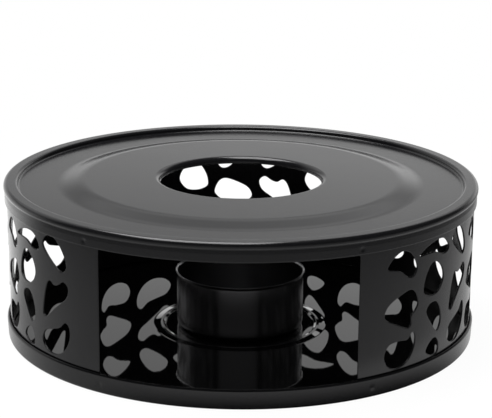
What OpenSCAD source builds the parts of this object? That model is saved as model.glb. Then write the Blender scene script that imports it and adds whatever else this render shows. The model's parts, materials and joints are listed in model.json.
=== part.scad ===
// Teapot warmer: a round candle stand of black painted sheet steel.
// A pressed plate with a vent hole lies on a pierced ring, which stands in a shallow tray.
// The front of the ring is open, and a loose steel cup for a tea light stands inside.
// Millimetres, +Z up, origin at the middle of the underside, front opening towards -Y.

/* [Body] */
// Diameter across the rims of the plate and the tray
rim_d = 152; // [130:1:200]
// Height from the table to the top of the plate's rim
height = 50.6; // [45:0.1:90]
// Thickness of the painted sheet steel
sheet = 0.6; // [0.5:0.05:0.8]
// Inside radius of the tight bends in the sheet
bend = 0.2; // [0.1:0.05:0.4]
// Play between sheets that slide over each other
play = 0.1; // [0.05:0.05:0.2]

/* [Top plate] */
// Diameter of the vent hole over the flame
vent_d = 52; // [44:1:60]
// Depth of the edge that is turned down round the vent hole
vent_lip_h = 2.1; // [1.8:0.1:3]
// Inside radius of the bend at that edge
vent_bend = 0.9; // [0.5:0.1:1]
// Width of the rim bead
bead_w = 4.6; // [3.6:0.1:6]
// Inside radius of the bend at the bead's outer corner
bead_bend = 0.7; // [0.4:0.1:0.9]
// Inside radius of the bends at its inner corner and at the foot of its wall
well_bend = 0.35; // [0.2:0.05:0.4]
// Depth of the field below the top of the rim
field_drop = 1.6; // [1.5:0.1:2.5]
// Height of the raised centre above the field
centre_rise = 1.2; // [0.5:0.1:1.5]
// Diameter at the foot of the raised centre
centre_d = 118; // [100:1:120]
// Width of the slope round the raised centre
centre_slope = 9; // [5:0.5:12]
// Depth of the groove crimped in under the rim bead
groove = 0.15; // [0.1:0.05:0.4]
// Distance from the top of the rim to the lower edge of the skirt
skirt_h = 6; // [5:0.1:8]

/* [Side wall] */
// Width of the front opening, measured straight across
opening_w = 76; // [50:1:90]
// Height of the strip that shows between the skirt and the opening
header_h = 0.4; // [0.3:0.1:3]
// Height of the strip under the opening, hidden by the tray's rim
sill_h = 4.4; // [3:0.1:4.6]
// Plain margin to the right of the opening, before the first holes
margin_right = 7.9; // [5:0.1:15]
// Plain margin to the left of the opening, after the last holes
margin_left = 10.6; // [5:0.1:15]
// Number of repeats of the hole pattern round the wall
repeats = 8; // [4:1:9]

/* [Base tray] */
// Height of the tray's rim
tray_h = 6.3; // [5.9:0.1:8]
// How far the tray's rim leans out
tray_flare = 0.3; // [0.1:0.05:0.35]
// Inside radius of the bend at the foot of the tray's rim
tray_bend = 0.4; // [0.3:0.1:0.6]
// Middle diameter of the raised ring that keeps the cup in place
ring_d = 52; // [50:1:80]
// Width of the raised ring
ring_w = 4; // [3:0.5:6]
// Height of the raised ring
ring_h = 0.8; // [0.3:0.1:1]

/* [Tea light cup] */
// Inside diameter of the cup, for a standard tea light
cup_bore_d = 40; // [39:0.5:42]
// Height of the cup
cup_h = 18; // [14:0.1:24]
// Wall thickness of the cup
cup_wall = 0.5; // [0.4:0.05:0.8]
// How far the cup's rim flares out
cup_flare = 0.5; // [0.2:0.1:0.8]
// Inside radius of the bend at the foot of the cup
cup_bend = 1.5; // [1:0.1:3]
// Diameter at the foot of the raised middle of the cup's floor
cup_boss_d = 26; // [12:1:30]
// Height of the raised middle of the cup's floor
cup_boss_h = 0.6; // [0.3:0.1:1]

/* [Hidden] */
$fn = 120;
paint = [0.05, 0.05, 0.055];
steel = [0.72, 0.72, 0.74];

// Steps along each bend or slope, and between two drawn points of a hole
bend_steps = 4;
slope_steps = 8;
hole_steps = 2;

// Slope of the crimped groove, and how far the tray's lip turns in, in degrees
crimp = 45;
lip_turn = 60;

// Height over which the cup's rim flares out, and width of the slopes in the two floors
cup_flare_h = 1.5;
floor_slope = 1.5;

// Radii of the sheets, each from the one that it slides over
rim_r = rim_d / 2;
skirt_r = rim_r - tray_flare;
wall_r = skirt_r - sheet - play;
tray_foot_r = rim_r - tray_flare;
vent_r = vent_d / 2;
bead_in_r = rim_r - bead_w;
outer_bend = bend + sheet;
bead_r = bead_bend + sheet;
well_r = well_bend + sheet;
cup_r = cup_bore_d / 2 + cup_wall;

// Heights of the plate's levels
field_z = height - field_drop;
centre_z = field_z + centre_rise;
skirt_z = height - skirt_h;
bead_z = height - bead_r;
bead_foot = [rim_r - bead_r * (1 - cos(crimp)), bead_z - bead_r * sin(crimp)];
groove_r = min(skirt_r, bead_foot.x) - groove;
groove_z = bead_foot.y - (bead_foot.x - groove_r) / tan(crimp);
crimp_z = groove_z - (skirt_r - groove_r) / tan(crimp);

// Heights of the wall, from just over the bend of the tray's rim to just under the crimped groove
wall_z = sheet + tray_bend;
wall_top = crimp_z - sheet * tan(crimp / 2);
sill_z = wall_z + sill_h;
header_z = skirt_z - header_h;

// Angles from the middle of the opening, and the length of one repeat along the wall
half_opening = asin(opening_w / 2 / wall_r);
pierced_from = half_opening + turn(margin_right);
pierced_to = 360 - half_opening - turn(margin_left);
cell_angle = (pierced_to - pierced_from) / repeats;
cell_w = cell_angle * PI / 180 * wall_r;
cell_h = skirt_z - tray_h;

// The holes of one repeat, drawn in millimetres on a cell of this size:
// x runs along the wall to the right, and y up from the tray's rim to the skirt
drawn_w = 46.6;
drawn_h = 39.2;
drawn_holes = [
    [[1.8, 33], [4, 35.8], [7.4, 37.5], [10.6, 36.5], [13, 33.8], [13.9, 31.1], [12.4, 28.9],
     [10, 29.1], [7.2, 31.2], [4.2, 32.1]],
    [[1.2, 18.3], [2.6, 21.1], [6.2, 23.2], [10.8, 24.7], [13.4, 23.5], [14.9, 19.9], [13.7, 17.8],
     [12, 16.3], [12, 13.7], [10.4, 12.7], [6.6, 14.4], [2.6, 16.4]],
    [[1.5, 5.1], [3.2, 8.5], [7, 9.1], [10.6, 8.8], [12.8, 10.8], [14.1, 9.1], [13.3, 5.1],
     [10.7, 1.9], [6.8, 0.6], [3.1, 1.8]],
    [[15, 34.6], [18.6, 36.7], [23.4, 37.8], [27.8, 37.3], [30.8, 34.3], [29.2, 32.7], [26.4, 32.9],
     [22.6, 34.3], [18.4, 34.5]],
    [[17.4, 23.1], [18.2, 26.9], [20.8, 30.7], [24, 30.8], [27, 28.2], [27.9, 24.7], [25.4, 21.3],
     [21.6, 20.6], [18.4, 21.5]],
    [[19.2, 15.6], [20.7, 17.8], [23.9, 18], [26.2, 15.5], [27.2, 11.5], [25.9, 8.5], [24.2, 8.8],
     [21.6, 11.9]],
    [[19.6, 2.9], [21.4, 5.1], [24.2, 6.1], [26.2, 3.9], [26, 1.1], [23.8, 0.5], [20.9, 1.5]],
    [[33, 35.6], [34.4, 38.2], [37.9, 39], [41.2, 37], [43.9, 32.9], [44.3, 30.1], [42.2, 28.7],
     [38.8, 30.3], [35, 33.1]],
    [[32.4, 13.5], [33.2, 18.5], [34.6, 22.9], [36.3, 24.6], [38.4, 23.6], [40.4, 24.1], [43, 25.6],
     [45, 23.9], [44, 20.6], [40.4, 17.8], [36.8, 14.9], [34.2, 12.7]],
    [[31.7, 4.3], [33.4, 7.7], [37.4, 9.2], [40.8, 10.4], [43.4, 12.6], [45.2, 11.1], [45, 7.3],
     [42.6, 3.5], [38.8, 1.4], [34.4, 1.7]],
];

// Angle round the wall that a length of its sheet takes up
function turn(length) = length / wall_r * 180 / PI;

// Points of an arc about c, from angle a to angle b
function arc(c, r, a, b) = [for (i = [0:bend_steps])
    c + r * [cos(a + (b - a) * i / bend_steps), sin(a + (b - a) * i / bend_steps)]];

// Points of a slope from p to q that leaves and arrives level
function slope(p, q) = [for (i = [0:slope_steps])
    [p.x + (q.x - p.x) * i / slope_steps, p.y + (q.y - p.y) * (1 - cos(180 * i / slope_steps)) / 2]];

// Direction from p to q, as a unit vector
function along(p, q) = (q - p) / norm(q - p);

// Point i of a path, moved to the path's right by t, with the corner mitred
function beside(path, i, t) =
    let (before = along(path[max(i - 1, 0)], path[max(i, 1)]),
         after = along(path[min(i, len(path) - 2)], path[min(i + 1, len(path) - 1)]),
         side = [before.y + after.y, -before.x - after.x])
    path[i] + side * 2 * t / (side * side);

// Outline of sheet of thickness t whose outer face is the path
function folded(path, t) = concat(path, [for (i = [len(path) - 1:-1:0]) beside(path, i, t)]);

// Point at t between b and c, on the smooth curve through four points in a row
function between(a, b, c, d, t) =
    b + ((c - a) * t + (2 * a - 5 * b + 4 * c - d) * pow(t, 2) + (3 * b - a - 3 * c + d) * pow(t, 3)) / 2;

// Closed smooth curve through the points
function smooth(p) = [for (n = len(p), i = [0:n - 1], k = [0:hole_steps - 1])
    between(p[(i + n - 1) % n], p[i], p[(i + 1) % n], p[(i + 2) % n], k / hole_steps)];

// Upper face of the plate, from the turned-down edge of the vent hole out to the skirt
plate_face = concat(
    [[vent_r, centre_z - vent_lip_h]],
    arc([vent_r + vent_bend + sheet, centre_z - vent_bend - sheet], vent_bend + sheet, 180, 90),
    slope([centre_d / 2 - centre_slope, centre_z], [centre_d / 2, field_z]),
    arc([bead_in_r - well_bend, field_z + well_bend], well_bend, -90, 0),
    arc([bead_in_r + well_r, height - well_r], well_r, 180, 90),
    arc([rim_r - bead_r, bead_z], bead_r, 90, -crimp),
    [[groove_r, groove_z], [skirt_r, crimp_z], [skirt_r, skirt_z]]
);

// Outer face of the tray, from the lip of its rim down and in to the middle of its floor
tray_face = concat(
    arc([rim_r - outer_bend, tray_h - outer_bend * sin(lip_turn)], outer_bend, lip_turn, 0),
    arc([tray_foot_r - tray_bend - sheet, tray_bend + sheet], tray_bend + sheet, 0, -90),
    slope([(ring_d + ring_w) / 2, 0], [(ring_d + ring_w) / 2 - floor_slope, ring_h]),
    slope([(ring_d - ring_w) / 2 + floor_slope, ring_h], [(ring_d - ring_w) / 2, 0]),
    [[0, 0]]
);

// Outer face of the cup, from its rim down and in to the middle of its floor
cup_face = concat(
    slope([cup_r + cup_flare, cup_h], [cup_r, cup_h - cup_flare_h]),
    arc([cup_r - cup_bend - cup_wall, cup_bend + cup_wall], cup_bend + cup_wall, 0, -90),
    slope([cup_boss_d / 2, 0], [cup_boss_d / 2 - floor_slope, cup_boss_h]),
    [[0, cup_boss_h]]
);

// Pressed top plate: vent hole, raised centre, sunk field, rim bead, groove and skirt
module top_plate() {
    color(paint)
    rotate_extrude()
    polygon(folded(plate_face, sheet));
}

// Prism through the wall for one drawn hole of the repeat that starts at an angle
module hole(drawn, start) {
    middle = [for (p = drawn) 1] * drawn / len(drawn);
    stretch = cell_w / drawn_w;
    outline = [for (p = smooth(drawn))
        [wall_r * sin(turn((p.x - middle.x) * stretch)), tray_h + p.y * cell_h / drawn_h]];
    rotate([0, 0, start + turn(middle.x * stretch)])
    rotate([90, 0, 0])
    translate([0, 0, wall_r - 3 * sheet])
    linear_extrude(5 * sheet)
    polygon(outline);
}

// Pierced ring with the front opening
module side_wall() {
    color(paint)
    difference() {
        translate([0, 0, wall_z])
        cylinder(h = wall_top - wall_z, r = wall_r);
        cylinder(h = height, r = wall_r - sheet);
        rotate([0, 0, -90 - half_opening])
        translate([0, 0, sill_z])
        rotate_extrude(angle = 2 * half_opening)
        translate([wall_r - 3 * sheet, 0])
        square([5 * sheet, header_z - sill_z]);
        for (i = [0:repeats - 1], drawn = drawn_holes)
            hole(drawn, pierced_from + i * cell_angle);
    }
}

// Pressed tray with a leaning rim and a raised ring in its floor
module base_tray() {
    color(paint)
    rotate_extrude()
    polygon(folded(tray_face, sheet));
}

// Drawn steel cup that stands loose inside the raised ring
module tealight_cup() {
    color(steel)
    translate([0, 0, sheet])
    rotate_extrude()
    polygon(folded(cup_face, cup_wall));
}

top_plate();
side_wall();
base_tray();
tealight_cup();
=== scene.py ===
"""Teapot warmer: a round candle stand of black enamelled sheet steel.

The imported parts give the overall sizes. This script works out the surfaces that show, with
rounded edges and smooth holes, gives them their finishes and sets up a plain studio.
Lengths are in metres, +Z is up, and the front opening faces -Y.
"""

import json
import math

import bpy
import numpy as np
from bpy.props import FloatProperty, FloatVectorProperty, IntProperty, PointerProperty
from bpy.types import Operator, Panel, PropertyGroup
from mathutils import Matrix, Vector
from mathutils.geometry import delaunay_2d_cdt

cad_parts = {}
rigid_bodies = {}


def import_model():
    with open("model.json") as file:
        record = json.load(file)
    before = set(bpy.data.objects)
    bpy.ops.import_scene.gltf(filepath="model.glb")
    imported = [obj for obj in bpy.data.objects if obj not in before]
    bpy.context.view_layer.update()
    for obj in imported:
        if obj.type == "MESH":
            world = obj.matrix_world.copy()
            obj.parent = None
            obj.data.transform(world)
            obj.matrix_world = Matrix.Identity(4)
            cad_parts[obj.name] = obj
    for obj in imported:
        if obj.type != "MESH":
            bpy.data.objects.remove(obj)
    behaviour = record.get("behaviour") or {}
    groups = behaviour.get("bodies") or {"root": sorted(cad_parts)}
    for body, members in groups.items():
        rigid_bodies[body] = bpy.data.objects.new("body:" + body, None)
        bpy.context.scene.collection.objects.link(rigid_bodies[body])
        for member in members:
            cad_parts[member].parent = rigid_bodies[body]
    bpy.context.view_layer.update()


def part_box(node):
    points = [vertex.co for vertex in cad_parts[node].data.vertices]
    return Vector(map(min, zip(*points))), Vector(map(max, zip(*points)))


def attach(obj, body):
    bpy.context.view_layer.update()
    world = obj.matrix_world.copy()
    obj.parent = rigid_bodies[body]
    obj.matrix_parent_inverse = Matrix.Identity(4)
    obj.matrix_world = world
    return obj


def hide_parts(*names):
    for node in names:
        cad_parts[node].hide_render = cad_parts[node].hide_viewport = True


bl_info = {
    "name": "Teapot warmer",
    "version": (1, 0, 0),
    "blender": (4, 5, 0),
    "location": "View3D > Sidebar > Warmer",
    "description": "Builds the visible surfaces of a teapot warmer and its studio",
    "category": "Object",
}

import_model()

MM = 0.001
BODY = "root"

# Fineness of the surfaces: facets round a piece, greatest turn of an arc between two points,
# longest straight run of a profile, points of a hole between two drawn ones, points of a rounded
# edge, and the grid that fills the wall's sheet
FACETS_ROUND = 370
ARC_STEP = math.radians(9)
LONGEST_RUN = 9 * MM
HOLE_STEPS = 6
EDGE_STEPS = 3
FILL_STEP = 2.6 * MM

# Near a spot weld: longest run of a profile, facets across it, and how many of its half widths
# they cover on each side
WELD_RUN = 0.4 * MM
WELD_FACETS = 17
WELD_REACH = 3

# Points this close are one, and angles are told apart to this many digits
SAME_PLACE = 1e-9
ANGLE_DIGITS = 5

# The holes of one repeat of the wall's pattern, drawn in millimetres on a cell of this size:
# the first number runs along the wall to the right, the second up from the tray's rim
DRAWN_CELL = (46.6, 39.2)
DRAWN_HOLES = (
    ((1.8, 33), (4, 35.8), (7.4, 37.5), (10.6, 36.5), (13, 33.8), (13.9, 31.1), (12.4, 28.9),
     (10, 29.1), (7.2, 31.2), (4.2, 32.1)),
    ((1.2, 18.3), (2.6, 21.1), (6.2, 23.2), (10.8, 24.7), (13.4, 23.5), (14.9, 19.9), (13.7, 17.8),
     (12, 16.3), (12, 13.7), (10.4, 12.7), (6.6, 14.4), (2.6, 16.4)),
    ((1.5, 5.1), (3.2, 8.5), (7, 9.1), (10.6, 8.8), (12.8, 10.8), (14.1, 9.1), (13.3, 5.1),
     (10.7, 1.9), (6.8, 0.6), (3.1, 1.8)),
    ((15, 34.6), (18.6, 36.7), (23.4, 37.8), (27.8, 37.3), (30.8, 34.3), (29.2, 32.7), (26.4, 32.9),
     (22.6, 34.3), (18.4, 34.5)),
    ((17.4, 23.1), (18.2, 26.9), (20.8, 30.7), (24, 30.8), (27, 28.2), (27.9, 24.7), (25.4, 21.3),
     (21.6, 20.6), (18.4, 21.5)),
    ((19.2, 15.6), (20.7, 17.8), (23.9, 18), (26.2, 15.5), (27.2, 11.5), (25.9, 8.5), (24.2, 8.8),
     (21.6, 11.9)),
    ((19.6, 2.9), (21.4, 5.1), (24.2, 6.1), (26.2, 3.9), (26, 1.1), (23.8, 0.5), (20.9, 1.5)),
    ((33, 35.6), (34.4, 38.2), (37.9, 39), (41.2, 37), (43.9, 32.9), (44.3, 30.1), (42.2, 28.7),
     (38.8, 30.3), (35, 33.1)),
    ((32.4, 13.5), (33.2, 18.5), (34.6, 22.9), (36.3, 24.6), (38.4, 23.6), (40.4, 24.1), (43, 25.6),
     (45, 23.9), (44, 20.6), (40.4, 17.8), (36.8, 14.9), (34.2, 12.7)),
    ((31.7, 4.3), (33.4, 7.7), (37.4, 9.2), (40.8, 10.4), (43.4, 12.6), (45.2, 11.1), (45, 7.3),
     (42.6, 3.5), (38.8, 1.4), (34.4, 1.7)),
)


def tenth(size):
    """The size to a tenth of a millimetre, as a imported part's facets fall just short of its circle."""
    return round(size, 4)


def length(name, description, default):
    """A length that a user may change, in metres."""
    return FloatProperty(
        name=name, description=description, default=default, min=0, unit="LENGTH", precision=5
    )


def share(name, description, default):
    """A number from 0 to 1 that a user may change."""
    return FloatProperty(
        name=name, description=description, default=default, min=0, max=1, subtype="FACTOR"
    )


class SheetSizes(PropertyGroup):
    """Sizes of the sheet steel that all painted pieces share."""

    thickness: length("Thickness", "Thickness of the painted sheet", 0.6 * MM)
    bend: length("Bend", "Inside radius of the tight bends", 0.2 * MM)
    edge: length("Edge", "Radius of the enamel over a cut edge", 0.28 * MM)
    weld_width: length("Weld width", "Half width of a spot weld's dimple", 0.7 * MM)
    weld_depth: length("Weld depth", "Depth of a spot weld's dimple", 0.22 * MM)


class PlateSizes(PropertyGroup):
    """Sizes of the pressed top plate."""

    rim_radius: length("Rim radius", "Outer radius of the rim bead", tenth(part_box("top_plate")[1].x))
    top: length("Top", "Height of the rim bead's top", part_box("top_plate")[1].z - 0.1 * MM)
    skirt_bottom: length("Skirt bottom", "Height of the skirt's lower edge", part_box("top_plate")[0].z)
    skirt_inset: length("Skirt inset", "How far the skirt lies inside the bead", 0.3 * MM)
    bead_width: length("Bead width", "Width of the rim bead", 4.6 * MM)
    bead_bend: length("Bead bend", "Inside radius of the bend at the bead's outer corner", 0.7 * MM)
    well_bend: length("Well bend", "Inside radius of the bend at the bead's inner corner", 0.35 * MM)
    foot_bend: length("Foot bend", "Inside radius of the bend at the foot of the bead's wall", 0.6 * MM)
    groove: length("Groove", "Depth of the groove crimped in under the bead", 0.06 * MM)
    groove_fade: length("Groove fade", "Height over which the groove runs out into the skirt", 1.2 * MM)
    field_drop: length("Field drop", "Depth of the field below the bead's top", 1.6 * MM)
    centre_rise: length("Centre rise", "Height of the raised centre above the field", 1.4 * MM)
    centre_radius: length("Centre radius", "Radius at the foot of the raised centre", 59 * MM)
    centre_slope: length("Centre slope", "Width of the slope round the raised centre", 9 * MM)
    slope_bend: length("Slope bend", "Inside radius of the bends of that slope", 14 * MM)
    vent_radius: length("Vent radius", "Radius of the vent hole", 26 * MM)
    vent_depth: length("Vent depth", "Depth of the edge turned down round the vent", 2.3 * MM)
    vent_bend: length("Vent bend", "Inside radius of the bend at that edge", 1.1 * MM)


class WallSizes(PropertyGroup):
    """Sizes of the pierced ring."""

    radius: length("Radius", "Outer radius of the ring", tenth(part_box("side_wall")[1].y))
    bottom: length("Bottom", "Height of the ring's lower edge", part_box("side_wall")[0].z)
    top: length("Top", "Height of the ring's upper edge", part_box("side_wall")[1].z)
    opening_width: length("Opening width", "Width of the front opening, straight across", 76 * MM)
    opening_corner: length("Opening corner", "Radius of the opening's corners", 0.6 * MM)
    header: length("Header", "Strip that shows between skirt and opening", 0.4 * MM)
    sill: length("Sill", "Strip under the opening", 4.4 * MM)
    margin_right: length("Right margin", "Plain margin right of the opening", 7.9 * MM)
    margin_left: length("Left margin", "Plain margin left of the opening", 10.6 * MM)
    repeats: IntProperty(name="Repeats", description="Repeats of the hole pattern", default=8, min=1)


class TraySizes(PropertyGroup):
    """Sizes of the pressed tray."""

    top: length("Top", "Height of the tray's rim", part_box("base_tray")[1].z)
    flare: length("Flare", "How far the rim leans out", 0.3 * MM)
    foot_bend: length("Foot bend", "Inside radius of the bend at the foot of the rim", 0.4 * MM)
    ring_radius: length("Ring radius", "Middle radius of the raised ring round the cup", 25.7 * MM)
    ring_top: length("Ring top width", "Width of the flat top of the ring", 0.6 * MM)
    ring_outside: length("Ring outside", "Width of the ring's gentle outer slope", 2.2 * MM)
    ring_inside: length("Ring inside", "Width of the ring's steeper inner slope", 0.8 * MM)
    ring_height: length("Ring height", "Height of the raised ring", 0.38 * MM)
    ring_bend: length("Ring bend", "Inside radius of the ring's bends", 0.3 * MM)
    ring_foot_bend: length("Ring foot bend", "Inside radius of the bend at the outer slope's foot", 4 * MM)


class CupSizes(PropertyGroup):
    """Sizes of the loose cup for a tea light."""

    radius: length("Radius", "Outer radius of the cup's wall", 20.7 * MM)
    bottom: length("Bottom", "Height of the cup's underside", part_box("tealight_cup")[0].z)
    top: length("Top", "Height of the cup's rim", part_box("tealight_cup")[1].z)
    wall: length("Wall", "Thickness of the cup's steel", 0.5 * MM)
    flare: length("Flare", "How far the rim flares out", 0.2 * MM)
    flare_height: length("Flare height", "Height over which the rim flares out", 0.4 * MM)
    flare_bend: length("Flare bend", "Inside radius of the bend under the flare", 1.2 * MM)
    foot_bend: length("Foot bend", "Inside radius of the bend at the foot of the wall", 1.5 * MM)
    boss_radius: length("Boss radius", "Radius at the foot of the raised middle", 12.5 * MM)
    boss_slope: length("Boss slope", "Width of the slope round the raised middle", 0.8 * MM)
    boss_height: length("Boss height", "Height of the raised middle of the floor", 0.6 * MM)
    boss_bend: length("Boss bend", "Inside radius of that slope's bends", 0.5 * MM)


class FinishLooks(PropertyGroup):
    """Colours and gloss of the finishes."""

    enamel: FloatVectorProperty(
        name="Enamel", description="Colour of the black enamel", subtype="COLOR",
        default=(0.004, 0.004, 0.0045),
    )
    enamel_index: FloatProperty(
        name="Enamel index", description="Refractive index of the enamel", default=1.36
    )
    satin: share("Satin", "Roughness of the satin enamel outside", 0.18)
    gloss: share("Gloss", "Roughness of the glossy enamel on the tray's floor", 0.02)
    # The cup's steel colour is partly its own grey and partly painted shade: it is darker than bare
    # stainless steel, so that the cup looks as dark as it does in its shaded place inside the warmer
    steel: FloatVectorProperty(
        name="Steel", description="Colour of the cup's steel", subtype="COLOR",
        default=(0.42, 0.42, 0.43),
    )
    polish: share("Polish", "Roughness of the cup's steel", 0.22)


class StudioLooks(PropertyGroup):
    """Camera, lamps and backdrop."""

    distance: length("Distance", "From the camera to the point that it aims at", 560 * MM)
    aim_height: length("Aim height", "Height of that point above the table", 25 * MM)
    elevation: FloatProperty(
        name="Elevation", description="Angle of the camera above the table", subtype="ANGLE",
        default=math.radians(16.94),
    )
    azimuth: FloatProperty(
        name="Azimuth", description="Angle of the camera to the right of the opening", subtype="ANGLE",
        default=math.radians(2.97),
    )
    roll: FloatProperty(
        name="Roll", description="Turn of the camera about its own axis", subtype="ANGLE",
        default=math.radians(0.42),
    )
    lens: FloatProperty(name="Lens", description="Focal length in millimetres", default=125.44)
    shift: FloatVectorProperty(
        name="Shift", description="Shift of the lens, in frame widths", size=2, default=(0.0114, 0.086)
    )
    lamp_power: FloatProperty(name="Lamp power", description="Power of the lamp in watts", default=8.5)
    lamp_width: length("Lamp width", "Width of the lamp", 0.45)
    lamp_length: length("Lamp length", "Length of the lamp, from front to back", 0.6)
    lamp_place: FloatVectorProperty(
        name="Lamp place", description="Where the lamp hangs, above and to the left", subtype="TRANSLATION",
        default=(-0.14, 0.0, 0.65),
    )
    fill: share("Fill", "Light that comes from all round", 0.4)
    backdrop: FloatProperty(name="Backdrop", description="How bright gloss sees the backdrop", default=1.1)
    backdrop_side: FloatProperty(
        name="Backdrop side", description="Angle of the backdrop's middle to the left of straight behind",
        subtype="ANGLE", default=math.radians(20),
    )
    dark_room: share("Dark room", "How bright gloss sees the room on the camera's side", 0.06)
    front_floor: share("Front floor", "How bright gloss sees the floor on the camera's side", 0.33)


GROUPS = {
    "warmer_sheet": SheetSizes,
    "warmer_plate": PlateSizes,
    "warmer_wall": WallSizes,
    "warmer_tray": TraySizes,
    "warmer_cup": CupSizes,
    "warmer_finish": FinishLooks,
    "warmer_studio": StudioLooks,
}


def left_of(heading):
    """Unit vectors square to a heading angle, on its left: minus its sine, then its cosine."""
    return np.stack([-np.sin(heading), np.cos(heading)], axis=-1)


def bent(corners, inside, thickness):
    """Points and unit normals of the outer face of bent sheet, in its (radius, height) section.

    The face runs straight from corner to corner, with the metal on its right. At each corner
    between the ends an arc joins the two legs. Its ends lie at its radius times the tangent of
    half the turn from the corner. Its radius is the inside one, plus the sheet's thickness where
    the face turns right and so lies on the outside of the bend.
    """
    corners = np.array(corners, float)
    legs = np.diff(corners, axis=0)
    headings = np.unwrap(np.arctan2(legs[:, 1], legs[:, 0]))
    points = [corners[:1]]
    normals = [left_of(headings[:1])]
    for corner, before, after, radius in zip(corners[1:-1], headings[:-1], headings[1:], inside):
        turn = after - before
        side = math.copysign(1, turn)
        radius = radius + thickness * (side < 0)
        reach = radius * abs(math.tan(turn / 2))
        start = corner - reach * np.array([math.cos(before), math.sin(before)])
        middle = start + side * radius * left_of(before)
        heading = np.linspace(before, after, 2 + int(abs(turn) / ARC_STEP))
        points.append(middle - side * radius * left_of(heading))
        normals.append(left_of(heading))
    points.append(corners[-1:])
    normals.append(left_of(headings[-1:]))
    return np.concatenate(points), np.concatenate(normals)


def refined(points, normals, longest=LONGEST_RUN):
    """The same profile with each run longer than a limit cut into equal parts, by linear steps."""
    runs = np.linalg.norm(np.diff(points, axis=0), axis=1)
    cuts = np.maximum(np.ceil(runs / longest), 1)
    at = np.concatenate([i + np.arange(n) / n for i, n in enumerate(cuts)] + [[len(runs)]])
    corners = np.arange(len(points))
    found = [np.interp(at, corners, table[:, k]) for table in (points, normals) for k in (0, 1)]
    return np.stack(found[:2], axis=-1), np.stack(found[2:], axis=-1)


def rounded_edge(point, normal, thickness, way):
    """Half-round edge of a sheet: a half circle from face to face about the sheet's middle.

    A point at angle a lies at the radius times cos a along the normal and sin a along the sheet.
    """
    heading = way * np.array([normal[1], -normal[0]])
    angle = np.linspace(0, math.pi, 2 + int(math.pi / ARC_STEP))[:, None]
    round_the_edge = np.cos(angle) * normal + np.sin(angle) * heading
    return point - thickness / 2 * normal + thickness / 2 * round_the_edge, round_the_edge


def sheet_section(corners, inside, thickness, welded_from=math.inf):
    """Closed section of bent sheet: its outer face, then its inner face on the way back.

    The inner face is the outer one moved along its normals by the thickness, and an end that
    isn't on the axis gets a half-round edge. Runs that start beyond a radius are cut finely
    enough for the dimples of spot welds.
    """
    points, normals = bent(corners, inside, thickness)
    longest = np.where(points[:-1, 0] >= welded_from, WELD_RUN, LONGEST_RUN)
    points, normals = refined(points, normals, longest)
    outline = [points, points[::-1] - thickness * normals[::-1]]
    facing = [normals, -normals[::-1]]
    if points[-1, 0] > 0:
        edge, round_the_edge = rounded_edge(points[-1], normals[-1], thickness, 1)
        outline.insert(1, edge)
        facing.insert(1, round_the_edge)
    edge, round_the_edge = rounded_edge(points[0], normals[0], thickness, -1)
    outline.append(edge[::-1])
    facing.append(round_the_edge[::-1])
    return np.concatenate(outline), np.concatenate(facing)


def facets_round(spots=(), radius=1.0, width=0.0):
    """Angles round a piece: equal steps, with closer ones across each spot."""
    even = np.linspace(0, 2 * math.pi, FACETS_ROUND, endpoint=False)
    across = np.linspace(-WELD_REACH, WELD_REACH, WELD_FACETS) * width / radius
    angles = np.concatenate([even, *(spot + across for spot, _ in spots)]) % (2 * math.pi)
    return np.unique(np.round(angles, ANGLE_DIGITS))


def round_about(angles):
    """Unit vectors (radial, tangent) at angles from the front, -Y, towards +X."""
    none = np.zeros_like(angles)
    radial = np.stack([np.sin(angles), -np.cos(angles), none], axis=-1)
    tangent = np.stack([np.cos(angles), np.sin(angles), none], axis=-1)
    return radial, tangent


def turned(outline, facing, angles):
    """Surface of revolution: a point is its radius times the radial direction, at its height."""
    radial, _ = round_about(angles)
    up = np.array([0.0, 0.0, 1.0])
    points = outline[:, None, :1] * radial + outline[:, None, 1:] * up
    normals = facing[:, None, :1] * radial + facing[:, None, 1:] * up
    rows = np.append(np.arange(len(outline)), 0)
    return points[rows], normals[rows], grid_faces(len(rows), len(angles))


def dimpled(points, normals, spots, width, depth):
    """Pushes the sheet in at each spot (angle, height) by a bell curve of the distance from it.

    The push along the radius is minus depth times exp(-(distance / width) squared), and each
    normal leans by the slope of that push. The other side and the axis stay as they are.
    """
    for angle, height in spots:
        (radial,), (tangent,) = round_about(np.array([angle]))
        along = points @ tangent
        up = points[..., 2] - height
        bell = depth * np.exp(-(along**2 + up**2) / width**2) * (points @ radial > width)
        slope = 2 / width**2 * bell[..., None] * (along[..., None] * tangent + up[..., None] * [0, 0, 1])
        points = points - bell[..., None] * radial
        normals = normals - (normals @ radial)[..., None] * slope
    return points, normals / np.linalg.norm(normals, axis=-1, keepdims=True)


def grid_faces(rows, columns, closed=True):
    """Quads of a grid of points, row after row, with its last column joined to its first if closed."""
    row = np.arange(rows - 1)[:, None]
    column = np.arange(columns if closed else columns - 1)[None]
    after = (column + 1) % columns
    corners = [row * columns + column, row * columns + after]
    corners += [(row + 1) * columns + after, (row + 1) * columns + column]
    return np.stack(corners, axis=-1).reshape(-1, 4)


def without_repeats(faces):
    """Splits quads into true quads and the triangles left where two neighbouring corners are one."""
    same = faces == np.roll(faces, -1, axis=1)
    repeats = same.sum(axis=1)
    return [faces[repeats == 0], faces[repeats == 1][~same[repeats == 1]].reshape(-1, 3)]


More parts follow.
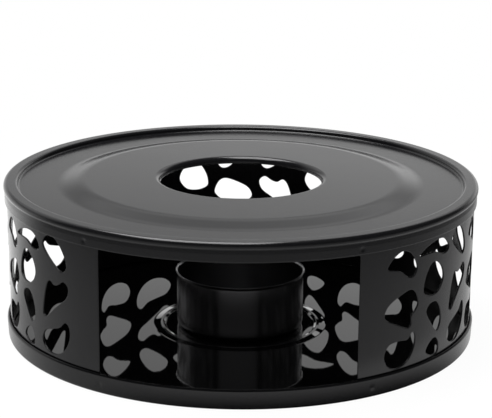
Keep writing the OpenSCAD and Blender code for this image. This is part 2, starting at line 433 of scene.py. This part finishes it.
def make_piece(name, parts, finish, node):
    """Joins parts (points, normals, faces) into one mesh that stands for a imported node.

    Points at one place become one vertex, so seams and poles close, and a face is wound so that
    it points the way its corners' normals do.
    """
    starts = np.cumsum([0] + [points.size // 3 for points, _, _ in parts])
    points = np.concatenate([points.reshape(-1, 3) for points, _, _ in parts])
    normals = np.concatenate([normals.reshape(-1, 3) for _, normals, _ in parts])
    rounded = np.round(points / SAME_PLACE)
    _, first, place = np.unique(rounded, axis=0, return_index=True, return_inverse=True)
    place = place.reshape(-1)
    points = points[first]
    normals = normals[first]
    polygons = []
    for (_, _, faces), start in zip(parts, starts):
        faces = place[faces + start]
        for kind in without_repeats(faces) if faces.shape[1] == 4 else [faces]:
            across = points[kind[:, 2:]] - points[kind[:, :1]]
            facing = np.cross(points[kind[:, 1]] - points[kind[:, 0]], across[:, 0])
            wrong = (facing * normals[kind].sum(axis=1)).sum(axis=1) < 0
            kind[wrong] = kind[wrong, ::-1]
            polygons += kind.tolist()
    mesh = bpy.data.meshes.new(name)
    mesh.from_pydata(points.tolist(), [], polygons)
    mesh.polygons.foreach_set("use_smooth", np.ones(len(polygons), bool))
    mesh.normals_split_custom_set_from_vertices(normals.tolist())
    mesh.materials.append(finish)
    if mesh.validate():
        raise RuntimeError(f"the mesh of {name} has faulty faces")
    piece = bpy.data.objects.new(name, mesh)
    bpy.context.scene.collection.objects.link(piece)
    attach(piece, BODY)
    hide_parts(node)
    return piece


class Wire:
    """A shader socket that takes part in sums: each operator adds the Math node for it."""

    def __init__(self, finish, socket):
        self.finish = finish
        self.socket = socket

    def math(self, operation, *values):
        inputs = dict(enumerate(values))
        return self.finish.node("ShaderNodeMath", {"operation": operation}, inputs)

    def __add__(self, other):
        return self.math("ADD", self, other)

    def __sub__(self, other):
        return self.math("SUBTRACT", self, other)

    def __rsub__(self, other):
        return self.math("SUBTRACT", other, self)

    def __mul__(self, other):
        return self.math("MULTIPLY", self, other)

    __radd__ = __add__
    __rmul__ = __mul__


class Finish:
    """The node tree of a material or of the world."""

    def __init__(self, owner):
        owner.use_nodes = True
        self.tree = owner.node_tree
        self.tree.nodes.clear()

    def node(self, kind, settings=None, inputs=None, output=0):
        """Adds a node with its settings, then its values and links, and gives one of its outputs."""
        made = self.tree.nodes.new(kind)
        for name, value in (settings or {}).items():
            setattr(made, name, value)
        for name, value in (inputs or {}).items():
            if isinstance(value, Wire):
                self.tree.links.new(value.socket, made.inputs[name])
            else:
                made.inputs[name].default_value = value
        return Wire(self, made.outputs[output]) if made.outputs else None

    def vector_math(self, operation, *vectors, output="Value"):
        """Adds the Vector Math node for some vectors, and gives its number or its vector."""
        return self.node("ShaderNodeVectorMath", {"operation": operation}, dict(enumerate(vectors)), output)

    def part(self, vector, axis):
        """One part of a vector, along the axis X, Y or Z."""
        return self.node("ShaderNodeSeparateXYZ", {}, {0: vector}, axis)

    def place(self, stretch=(1, 1, 1)):
        """Object coordinates, stretched along each axis."""
        place = self.node("ShaderNodeTexCoord", output="Object")
        return self.node("ShaderNodeMapping", {}, {"Vector": place, "Scale": stretch})

    def noise(self, place, size, detail=2.0):
        """Soft noise from 0 to 1 with blotches about as large as the size."""
        return self.node("ShaderNodeTexNoise", {}, {"Vector": place, "Scale": 1 / size, "Detail": detail})

    def step(self, value, low, high):
        """Smooth step from 0 at low to 1 at high."""
        inputs = {"Value": value, "From Min": low, "From Max": high}
        return self.node("ShaderNodeMapRange", {"interpolation_type": "SMOOTHSTEP"}, inputs)

    def mix(self, factor, first, second):
        """Colour mixed from two by a factor."""
        sockets = {0: factor, 6: first, 7: second}
        return self.node("ShaderNodeMix", {"data_type": "RGBA"}, sockets, output=2)

    def bump(self, height, distance):
        """Normal of a surface raised by a height from 0 to 1 times a distance."""
        return self.node("ShaderNodeBump", {}, {"Strength": 1.0, "Distance": distance, "Height": height})

    def surface(self, shader):
        self.node("ShaderNodeOutputMaterial", {}, {"Surface": shader})


def new_finish(name):
    material = bpy.data.materials.new(name)
    return material, Finish(material)


def tinted(colour, strength=1.0):
    """A colour times a strength, with full alpha."""
    return [part * strength for part in colour] + [1.0]


# The enamel's orange peel, and the larger clouds where its satin is uneven: their sizes, how much
# they vary the roughness, and how much lighter the clouds are
PEEL_SIZE = 0.9 * MM
PEEL_HEIGHT = 0.012 * MM
PEEL_ROUGHNESS = 0.06
CLOUD_SIZE = 14 * MM
CLOUD_ROUGHNESS = 0.08
CLOUD_TINT = 1.3

# In the glossy part: what is left of the peel, and half the width of its border
GLOSSY_PEEL = 0.1
GLOSSY_BORDER = 0.2 * MM


def enamel(name, looks, gloss_radius=0.0):
    """Black baked enamel: satin, with fine orange peel and clouds of faintly uneven gloss.

    Inside a radius, if one is given, it is glossy and smooth under a thicker, clear layer.
    """
    material, finish = new_finish(name)
    place = finish.place()
    cloud = finish.noise(place, CLOUD_SIZE)
    peel = finish.noise(place, PEEL_SIZE, detail=3.0)
    rough = looks.satin + (cloud - 0.5) * CLOUD_ROUGHNESS + (peel - 0.5) * PEEL_ROUGHNESS
    coat = 0.0
    if gloss_radius:
        from_axis = finish.vector_math("LENGTH", finish.place((1, 1, 0)))
        satin_part = finish.step(from_axis, gloss_radius - GLOSSY_BORDER, gloss_radius + GLOSSY_BORDER)
        rough = (rough - looks.gloss) * satin_part + looks.gloss
        peel = peel * (satin_part * (1 - GLOSSY_PEEL) + GLOSSY_PEEL)
        coat = 1 - satin_part
    shader = finish.node(
        "ShaderNodeBsdfPrincipled",
        {},
        {
            "Base Color": finish.mix(cloud, tinted(looks.enamel), tinted(looks.enamel, CLOUD_TINT)),
            "Roughness": rough,
            "IOR": looks.enamel_index,
            "Coat Weight": coat,
            "Coat Roughness": looks.gloss,
            "Coat IOR": looks.enamel_index,
            "Normal": finish.bump(peel, PEEL_HEIGHT),
        },
    )
    finish.surface(shader)
    return material


# Marks of deep drawing on the cup's steel: fine lines and wider streaks, both drawn out upwards
# to many times their width, how much they vary the roughness, and how dark the streaks are
LINE_WIDTH = 0.25 * MM
LINE_HEIGHT = 0.0001 * MM
LINE_SQUEEZE = 0.03
LINE_ROUGHNESS = 0.04
STREAK_WIDTH = 5 * MM
STREAK_SQUEEZE = 0.05
STREAK_ROUGHNESS = 0.03
STREAK_TINT = 0.75


def drawn_steel(name, looks):
    """Deep-drawn stainless steel: polished, with faint marks up its wall where it slid through the die."""
    material, finish = new_finish(name)
    lines = finish.noise(finish.place((1, 1, LINE_SQUEEZE)), LINE_WIDTH, detail=3.0)
    streak = finish.noise(finish.place((1, 1, STREAK_SQUEEZE)), STREAK_WIDTH)
    shader = finish.node(
        "ShaderNodeBsdfPrincipled",
        {},
        {
            # The steel colour carries painted shade, as well as the darker streaks of drawing
            "Base Color": finish.mix(streak, tinted(looks.steel, STREAK_TINT), tinted(looks.steel)),
            "Metallic": 1.0,
            "Roughness": looks.polish + (lines - 0.5) * LINE_ROUGHNESS + (streak - 0.5) * STREAK_ROUGHNESS,
            "Normal": finish.bump(lines, LINE_HEIGHT),
        },
    )
    finish.surface(shader)
    return material


def smooth_loop(drawn, steps=HOLE_STEPS):
    """Points and unit tangents of the smooth closed curve through drawn points.

    Between points b and c, with a before and d after, the curve at t is
    b + ((c - a) t + (2a - 5b + 4c - d) t^2 + (3b - a - 3c + d) t^3) / 2.
    """
    b = np.array(drawn, float)[:, None]
    a, c, d = np.roll(b, 1, axis=0), np.roll(b, -1, axis=0), np.roll(b, -2, axis=0)
    t = (np.arange(steps) / steps)[None, :, None]
    one, two, three = (c - a) / 2, (2 * a - 5 * b + 4 * c - d) / 2, (3 * b - a - 3 * c + d) / 2
    points = b + one * t + two * t**2 + three * t**3
    along = one + 2 * two * t + 3 * three * t**2
    along = along / np.linalg.norm(along, axis=-1, keepdims=True)
    return points.reshape(-1, 2), along.reshape(-1, 2)


class Wall:
    """The pierced ring as a flat strip: how far along the ring from the front, and how high."""

    def __init__(self, sizes, sheet, tray_top, skirt_bottom):
        self.sizes = sizes
        self.thickness = sheet.thickness
        self.edge = sheet.edge
        radius = sizes.radius
        self.half_opening = radius * math.asin(sizes.opening_width / 2 / radius)
        self.pierced_from = self.half_opening + sizes.margin_right
        pierced_to = 2 * math.pi * radius - self.half_opening - sizes.margin_left
        self.cell = np.array([(pierced_to - self.pierced_from) / sizes.repeats, skirt_bottom - tray_top])
        self.tray_top = tray_top
        self.opening = (sizes.bottom + sizes.sill, skirt_bottom - sizes.header)
        seam = self.pierced_from + (sizes.repeats // 2) * self.cell[0]
        self.ends = (seam - 2 * math.pi * radius, seam)

    def holes(self):
        """Each hole as (cut, into): its outline in the strip, and unit vectors from it into the sheet.

        The outlines run clockwise, so the sheet lies on their left. Repeats that start past the
        seam are cut into the strip's other end.
        """
        for drawn in DRAWN_HOLES:
            points, along = smooth_loop(np.array(drawn) / DRAWN_CELL * self.cell)
            into = np.stack([-along[:, 1], along[:, 0]], axis=-1)
            for repeat in range(self.sizes.repeats):
                start = self.pierced_from + repeat * self.cell[0]
                start -= 2 * math.pi * self.sizes.radius * (start > self.ends[1] - self.edge)
                yield points + [start, self.tray_top], into

    def opening_cut(self):
        """The front opening's outline, clockwise with rounded corners, and unit vectors into the sheet."""
        low, high = self.opening
        side = self.half_opening
        corners = [(0, low), (-side, low), (-side, high), (side, high), (side, low), (0, low)]
        points, into = refined(*bent(corners, [self.sizes.opening_corner] * 4, 0), FILL_STEP)
        return points[:-1], into[:-1]

    def rim_cut(self, height, way):
        """The ring's upper or lower edge, and unit vectors from it into the sheet."""
        steps = 1 + math.ceil((self.ends[1] - self.ends[0]) / FILL_STEP)
        along = np.linspace(*self.ends, steps)
        cut = np.stack([along, np.full(steps, height)], axis=-1)
        return cut, np.tile([0.0, -float(way)], (steps, 1))

    def rolled(self, flat, depth, lean, out):
        """Rolls strip points into the ring, with their normals.

        The angle is the distance along the strip over the ring's radius, and the radius is the
        ring's less the depth. A normal is a lean in the strip plus a share out along the radius.
        """
        radial, tangent = round_about(flat[..., 0] / self.sizes.radius)
        up = np.array([0.0, 0.0, 1.0])
        points = (self.sizes.radius - depth) * radial + flat[..., 1:] * up
        normals = lean[..., :1] * tangent + lean[..., 1:] * up + out * radial
        return points, normals

    def edge_strip(self, cut, into, closed):
        """The rounded edge along a cut: a quarter circle, a straight stretch and a quarter circle.

        At angle a of the first quarter the surface is set back from the cut by the edge radius
        times 1 - sin a, lies that radius times 1 - cos a deep, and faces out by cos a.
        """
        quarter = np.linspace(0, math.pi / 2, EDGE_STEPS + 1)
        angle = np.concatenate([quarter, quarter[::-1]])[:, None, None]
        near = np.repeat([1.0, -1.0], EDGE_STEPS + 1)[:, None, None]
        deep = self.edge * (1 - np.cos(angle))
        depth = np.where(near > 0, deep, self.thickness - deep)
        flat = cut + self.edge * (1 - np.sin(angle)) * into
        points, normals = self.rolled(flat, depth, -np.sin(angle) * into, np.cos(angle) * near)
        return points, normals, grid_faces(len(angle), len(cut), closed)

    def faces_between(self, loops, lines):
        """Flat triangles of the sheet between the cuts, as points and faces.

        A grid of points fills the strip. Those inside a hole, or close to a cut, are left out,
        and what is inside a hole is dropped from the triangles. The triangulation wants each
        hole's corners anticlockwise.
        """
        left, right = self.ends
        low, high = lines[0][0, 1], lines[1][0, 1]
        heights = np.linspace(low, high, 2 + int((high - low) / FILL_STEP))[1:-1]
        sides = [np.stack([np.full(len(heights), x), heights], axis=-1) for x in self.ends]
        columns = lines[0][1:-1, 0]
        fill = np.stack(np.meshgrid(columns, heights), axis=-1).reshape(-1, 2)
        for loop in loops:
            fill = fill[clear_of(loop, fill, FILL_STEP / 3)]
        points = np.concatenate([*loops, *lines, *sides, fill])
        starts = np.cumsum([0] + [len(loop) for loop in loops])
        holes = [list(range(start, stop))[::-1] for start, stop in zip(starts[:-1], starts[1:])]
        made = delaunay_2d_cdt([Vector(p) for p in points.tolist()], [], holes, 0, SAME_PLACE)
        origin = np.array([ids[0] for ids in made[3]])
        kept = [face for face, inside in zip(made[2], made[5]) if not inside]
        return points, origin[np.array(kept)]

    def parts(self):
        """The ring's surfaces: outer face, inner face and the edges of every cut."""
        cuts = [*self.holes(), self.opening_cut()]
        rims = [self.rim_cut(self.sizes.bottom, -1), self.rim_cut(self.sizes.top, 1)]
        loops = [cut + self.edge * into for cut, into in cuts]
        lines = [cut + self.edge * into for cut, into in rims]
        flat, faces = self.faces_between(loops, lines)
        still = np.zeros((len(flat), 2))
        yield *self.rolled(flat, 0.0, still, 1.0), faces
        yield *self.rolled(flat, self.thickness, still, -1.0), faces.copy()
        for cut, into in cuts:
            yield self.edge_strip(cut, into, True)
        for cut, into in rims:
            yield self.edge_strip(cut, into, False)


def clear_of(loop, points, gap):
    """True for each point that is outside a closed loop and further than a gap from its corners.

    A point is inside if a line from it to the right crosses the loop an odd number of times.
    """
    near = np.all((points > loop.min(axis=0) - gap) & (points < loop.max(axis=0) + gap), axis=1)
    test = points[near][:, None]
    after = np.roll(loop, -1, axis=0)
    above = (loop[:, 1] > test[..., 1]) != (after[:, 1] > test[..., 1])
    rise = np.where(loop[:, 1] == after[:, 1], 1.0, after[:, 1] - loop[:, 1])
    crossing = loop[:, 0] + (test[..., 1] - loop[:, 1]) / rise * (after[:, 0] - loop[:, 0])
    inside = (above & (crossing > test[..., 0])).sum(axis=1) % 2 == 1
    close = np.linalg.norm(test - loop, axis=-1).min(axis=1) < gap
    clear = np.ones(len(points), bool)
    clear[near] = ~(inside | close)
    return clear


def spot_welds(height, *degrees):
    """Places of spot welds at a height: angle from the front opening's middle towards +X, and height."""
    return tuple((math.radians(angle), height) for angle in degrees)


SKIRT_WELDS = spot_welds(46.3 * MM, -34, 30.5, 102, 180, 258)
TRAY_WELDS = spot_welds(3.1 * MM, -30, 34, 102, 180, 258)

# Width of the slope round the plate's raised centre, from corner to corner, for each unit of rise
SLOPE_RUN = 4.6

# How far the tray's lip turns in
LIP_TURN = math.radians(60)

# The pieces that the lamp's light is kept off
TRAY_PIECE = "pressed_base_tray"
CUP_PIECE = "drawn_tealight_cup"


class WARMER_OT_top_plate(Operator):
    """Press the top plate: vent, raised centre, sunk field, rim bead, groove and skirt"""

    bl_idname = "warmer.top_plate"
    bl_label = "Top plate"

    def execute(self, context):
        sizes, sheet = context.scene.warmer_plate, context.scene.warmer_sheet
        thick = sheet.thickness
        field = sizes.top - sizes.field_drop
        centre = field + sizes.centre_rise
        bead = sizes.rim_radius - sizes.bead_width
        skirt = sizes.rim_radius - sizes.skirt_inset
        inset = (sizes.centre_slope - sizes.centre_rise * SLOPE_RUN) / 2
        # Right under the bend at the bead's edge, the face turns in by 45 degrees at the chin, down
        # to the waist of the groove
        outer_bend = sizes.bead_bend + thick
        chin = sizes.top - outer_bend * (1 + math.tan(math.pi / 8))
        waist = min(skirt, sizes.rim_radius - outer_bend * (1 - math.cos(math.pi / 4))) - sizes.groove
        waist_z = chin - (sizes.rim_radius - waist)
        corners = [
            (sizes.vent_radius, centre - sizes.vent_depth + thick / 2),
            (sizes.vent_radius, centre),
            (sizes.centre_radius - sizes.centre_slope + inset, centre),
            (sizes.centre_radius - inset, field),
            (bead, field),
            (bead, sizes.top),
            (sizes.rim_radius, sizes.top),
            (sizes.rim_radius, chin),
            (waist, waist_z),
            (skirt, waist_z - sizes.groove_fade),
            (skirt, sizes.skirt_bottom + thick / 2),
        ]
        bends = [sizes.vent_bend, sizes.slope_bend, sizes.slope_bend, sizes.foot_bend, sizes.well_bend]
        bends += [sizes.bead_bend, sizes.bead_bend, sheet.bend, sheet.bend / 2]
        outline, facing = sheet_section(corners, bends, thick, skirt - thick)
        angles = facets_round(SKIRT_WELDS, skirt, sheet.weld_width)
        points, normals, faces = turned(outline, facing, angles)
        points, normals = dimpled(points, normals, SKIRT_WELDS, sheet.weld_width, sheet.weld_depth)
        finish = enamel("satin_enamel_plate", context.scene.warmer_finish)
        make_piece("pressed_top_plate", [(points, normals, faces)], finish, "top_plate")
        return {"FINISHED"}


class WARMER_OT_side_wall(Operator):
    """Roll the pierced ring with its front opening"""

    bl_idname = "warmer.side_wall"
    bl_label = "Side wall"

    def execute(self, context):
        scene = context.scene
        sizes, sheet = scene.warmer_wall, scene.warmer_sheet
        wall = Wall(sizes, sheet, scene.warmer_tray.top, scene.warmer_plate.skirt_bottom)
        finish = enamel("satin_enamel_wall", scene.warmer_finish)
        make_piece("pierced_side_wall", list(wall.parts()), finish, "side_wall")
        return {"FINISHED"}


class WARMER_OT_base_tray(Operator):
    """Press the tray: turned-in lip, leaning rim, floor and raised ring"""

    bl_idname = "warmer.base_tray"
    bl_label = "Base tray"

    def execute(self, context):
        sizes, sheet = context.scene.warmer_tray, context.scene.warmer_sheet
        thick = sheet.thickness
        rim = context.scene.warmer_plate.rim_radius
        outer_bend = sheet.bend + thick
        lip_start = (rim - outer_bend * (1 - math.cos(LIP_TURN)), sizes.top)
        shoulder = sizes.top - outer_bend * (math.sin(LIP_TURN) - math.tan(LIP_TURN / 2))
        crest_out = sizes.ring_radius + sizes.ring_top / 2
        crest_in = sizes.ring_radius - sizes.ring_top / 2
        corners = [
            lip_start,
            (rim, shoulder),
            (rim - sizes.flare, 0),
            (crest_out + sizes.ring_outside, 0),
            (crest_out, sizes.ring_height),
            (crest_in, sizes.ring_height),
            (crest_in - sizes.ring_inside, 0),
            (0, 0),
        ]
        bends = [sheet.bend, sizes.foot_bend, sizes.ring_foot_bend] + [sizes.ring_bend] * 3
        outline, facing = sheet_section(corners, bends, thick, rim - 2 * thick)
        angles = facets_round(TRAY_WELDS, rim, sheet.weld_width)
        points, normals, faces = turned(outline, facing, angles)
        points, normals = dimpled(points, normals, TRAY_WELDS, sheet.weld_width, sheet.weld_depth)
        gloss_radius = rim - sizes.flare - thick - sizes.foot_bend
        finish = enamel("satin_and_gloss_enamel_tray", context.scene.warmer_finish, gloss_radius)
        make_piece(TRAY_PIECE, [(points, normals, faces)], finish, "base_tray")
        return {"FINISHED"}


class WARMER_OT_tealight_cup(Operator):
    """Draw the loose steel cup for the tea light"""

    bl_idname = "warmer.tealight_cup"
    bl_label = "Tea light cup"

    def execute(self, context):
        sizes = context.scene.warmer_cup
        low = sizes.bottom
        corners = [
            (sizes.radius + sizes.flare, sizes.top - sizes.wall / 2),
            (sizes.radius, sizes.top - sizes.flare_height),
            (sizes.radius, low),
            (sizes.boss_radius, low),
            (sizes.boss_radius - sizes.boss_slope, low + sizes.boss_height),
            (0, low + sizes.boss_height),
        ]
        bends = [sizes.flare_bend, sizes.foot_bend, sizes.boss_bend, sizes.boss_bend]
        outline, facing = sheet_section(corners, bends, sizes.wall)
        points, normals, faces = turned(outline, facing, facets_round())
        finish = drawn_steel("drawn_steel", context.scene.warmer_finish)
        make_piece(CUP_PIECE, [(points, normals, faces)], finish, "tealight_cup")
        return {"FINISHED"}


def kinds_of_ray(finish):
    """1 or 0 for a ray from the camera, and for one that a glossy surface sends out."""
    path = finish.node("ShaderNodeLightPath")
    outputs = path.socket.node.outputs
    return Wire(finish, outputs["Is Camera Ray"]), Wire(finish, outputs["Is Glossy Ray"])


def grey(level):
    return (level, level, level, 1.0)


def towards_backdrop(finish, looks, direction, low=0.3, high=0.7):
    """1 for directions towards the white backdrop, which stands behind and to the left, else 0.

    The step from 0 to 1 lies where the cosine of the angle from its middle goes from low to high.
    """
    side = looks.backdrop_side
    middle = (-math.sin(side), math.cos(side), 0.0)
    return finish.step(finish.vector_math("DOT_PRODUCT", direction, middle), low, high)


# The floor as gloss sees it, with painted light and shade. Each pair is a distance from the axis
# where a smooth step starts and one where it ends: out of the painted shade at the object's foot,
# out of the strip of painted lamp light beyond it, and down to the level of the far floor, where
# the painted lamp light has fallen off
FOOT_SHADE = (0.074, 0.094)
PAINTED_LIGHT_STRIP_END = (0.088, 0.108)
FLOOR_FALL = (0.1, 0.3)

# Levels of the floor on the camera's side, as multiples of the looks' front floor: near the object,
# the gain of the painted lamp light in the strip and the loss of the painted fall-off; and cosines
# between which the painted shade and the strip of painted lamp light end towards the object's flanks
FLOOR_LEVEL = 2.4
PAINTED_LIGHT_GAIN = 2.5
FALL_LOSS = 1.3
FLANKS = (-0.95, -0.35)

# Behind the object: the floor's level in the middle, and how much darker it gets to the right, a
# painted shade on the side away from the lamp
BEHIND_LEVEL = 0.8
BEHIND_LEAN = 0.5

# The shadow that the camera sees: how dark the floor gets, and the floor's true colour
SHADOW = 0.04
FLOOR_GREY = 0.85


def floor_finish(looks):
    """Pale floor: white to the camera, with a faint shadow near the object.

    Gloss sees it bright towards the backdrop and dark on the camera's side, where it has a painted
    shade at the object's foot and a strip of painted lamp light beyond that.
    """
    material, finish = new_finish("pale_floor")
    camera, glossy = kinds_of_ray(finish)
    place = finish.place()
    direction = finish.vector_math("NORMALIZE", place, output="Vector")
    distance = finish.vector_math("LENGTH", place)
    far = finish.step(distance, *FLOOR_FALL)
    flank = towards_backdrop(finish, looks, direction, *FLANKS)
    # Painted shade at the object's foot, and painted lamp light in a strip beyond it, both only in front
    shade = (1 - finish.step(distance, *FOOT_SHADE)) * (1 - flank)
    strip = (1 - finish.step(distance, *PAINTED_LIGHT_STRIP_END)) * (1 - flank)
    front = (1 - shade) * (FLOOR_LEVEL - far * FALL_LOSS + strip * PAINTED_LIGHT_GAIN) * looks.front_floor
    # Painted shade behind the object: the floor gets darker to the right, away from the lamp
    behind = looks.backdrop * (BEHIND_LEVEL - finish.part(direction, "X") * BEHIND_LEAN)
    room = finish.mix(towards_backdrop(finish, looks, direction), front, behind)
    white = finish.mix(glossy, grey(1.0), room)
    own_light = finish.node("ShaderNodeEmission", {}, {"Color": white, "Strength": 1.0})
    plain = finish.node("ShaderNodeBsdfDiffuse", {}, {"Color": grey(FLOOR_GREY)})
    factor = camera * (1 - (1 - far) * SHADOW) + glossy
    finish.surface(finish.node("ShaderNodeMixShader", {}, {0: factor, 1: plain, 2: own_light}))
    return material


# The backdrop as gloss sees it. Each pair is a height where a smooth step starts and one where it
# ends, as sines of the elevation: into a dim band, deeper into it, out of it, and into the dark
DIM_BAND = (0.19, 0.275)
DEEP_BAND = (0.27, 0.33)
BAND_END = (0.36, 0.46)
BACKDROP_TOP = (0.7, 0.85)

# How much the band and its deep part take away, and from which sideways parts of a direction the
# backdrop goes from its left level to the brighter right one
DIM_LOSS = 0.46
DEEP_LOSS = 0.12
LEFT_LEVEL = 0.8
RIGHT_GAIN = 0.25
TO_THE_RIGHT = (-0.25, 0.15)


def studio_world(world, looks):
    """White to the camera and soft light from all round for the rest.

    Gloss sees the backdrop, with a dim band across it, and a dark room above it and on the
    camera's side.
    """
    finish = Finish(world)
    camera, glossy = kinds_of_ray(finish)
    direction = finish.node("ShaderNodeTexCoord", output="Generated")
    height = finish.part(direction, "Z")
    band = finish.step(height, *DIM_BAND) * DIM_LOSS + finish.step(height, *DEEP_BAND) * DEEP_LOSS
    band = band - finish.step(height, *BAND_END) * (DIM_LOSS + DEEP_LOSS)
    side = LEFT_LEVEL + finish.step(finish.part(direction, "X"), *TO_THE_RIGHT) * RIGHT_GAIN
    level = (1 - band - finish.step(height, *BACKDROP_TOP)) * side
    white = towards_backdrop(finish, looks, direction) * level
    room = finish.mix(white, grey(looks.dark_room), grey(looks.backdrop))
    colour = finish.mix(camera, finish.mix(glossy, grey(looks.fill), room), grey(1.0))
    shader = finish.node("ShaderNodeBackground", {}, {"Color": colour, "Strength": 1.0})
    finish.node("ShaderNodeOutputWorld", {}, {"Surface": shader})


def place_camera(looks):
    """Camera at a distance, azimuth and elevation from the point that it aims at, then rolled."""
    around, up = looks.azimuth, looks.elevation
    back = Vector((math.sin(around) * math.cos(up), -math.cos(around) * math.cos(up), math.sin(up)))
    camera = bpy.data.objects.new("camera", bpy.data.cameras.new("camera"))
    bpy.context.scene.collection.objects.link(camera)
    turn = back.to_track_quat("Z", "Y").to_matrix() @ Matrix.Rotation(looks.roll, 3, "Z")
    camera.matrix_world = turn.to_4x4()
    camera.location = Vector((0, 0, looks.aim_height)) + back * looks.distance
    camera.data.lens = looks.lens
    camera.data.shift_x, camera.data.shift_y = looks.shift
    bpy.context.scene.camera = camera


def hang_lamp(looks):
    """Soft oblong lamp that hangs level above the object. A flag keeps its light off what is inside."""
    lamp = bpy.data.lights.new("softbox", "AREA")
    lamp.energy = looks.lamp_power
    lamp.shape = "RECTANGLE"
    lamp.size = looks.lamp_width
    lamp.size_y = looks.lamp_length
    holder = bpy.data.objects.new("softbox", lamp)
    holder.location = looks.lamp_place
    flag = bpy.data.collections.new("flag")
    for number, name in enumerate((CUP_PIECE, TRAY_PIECE)):
        flag.objects.link(bpy.data.objects[name])
        flag.collection_objects[number].light_linking.link_state = "EXCLUDE"
    holder.light_linking.receiver_collection = flag
    holder.visible_camera = False
    bpy.context.scene.collection.objects.link(holder)


# Half the floor's side, and how far the floor lies under the tray
FLOOR_REACH = 6.0
FLOOR_GAP = 0.05 * MM


class WARMER_OT_studio(Operator):
    """Set up the floor, the backdrop, the lamp and the camera round the finished pieces"""

    bl_idname = "warmer.studio"
    bl_label = "Studio"

    def execute(self, context):
        looks = context.scene.warmer_studio
        signs = ((-1, -1), (1, -1), (1, 1), (-1, 1))
        corners = [(x * FLOOR_REACH, y * FLOOR_REACH, -FLOOR_GAP) for x, y in signs]
        mesh = bpy.data.meshes.new("floor")
        mesh.from_pydata(corners, [], [(0, 1, 2, 3)])
        mesh.materials.append(floor_finish(looks))
        floor = bpy.data.objects.new("floor", mesh)
        context.scene.collection.objects.link(floor)
        world = bpy.data.worlds.new("studio")
        studio_world(world, looks)
        context.scene.world = world
        hang_lamp(looks)
        place_camera(looks)
        context.scene.view_settings.view_transform = "Standard"
        return {"FINISHED"}


OPERATORS = (
    WARMER_OT_top_plate,
    WARMER_OT_side_wall,
    WARMER_OT_base_tray,
    WARMER_OT_tealight_cup,
    WARMER_OT_studio,
)


class WARMER_PT_panel(Panel):
    """Buttons for the pieces, and their sizes"""

    bl_label = "Teapot warmer"
    bl_space_type = "VIEW_3D"
    bl_region_type = "UI"
    bl_category = "Warmer"

    def draw(self, context):
        for operator in OPERATORS:
            self.layout.operator(operator.bl_idname)
        for name, group in GROUPS.items():
            box = self.layout.box()
            for size in group.__annotations__:
                box.prop(getattr(context.scene, name), size)


CLASSES = (*GROUPS.values(), *OPERATORS, WARMER_PT_panel)


def register():
    for made in CLASSES:
        bpy.utils.register_class(made)
    for name, group in GROUPS.items():
        setattr(bpy.types.Scene, name, PointerProperty(type=group))


def unregister():
    for name in GROUPS:
        delattr(bpy.types.Scene, name)
    for made in reversed(CLASSES):
        bpy.utils.unregister_class(made)


def main():
    register()
    bpy.ops.warmer.top_plate()
    bpy.ops.warmer.side_wall()
    bpy.ops.warmer.base_tray()
    bpy.ops.warmer.tealight_cup()
    bpy.ops.warmer.studio()


if __name__ == "__main__":
    main()
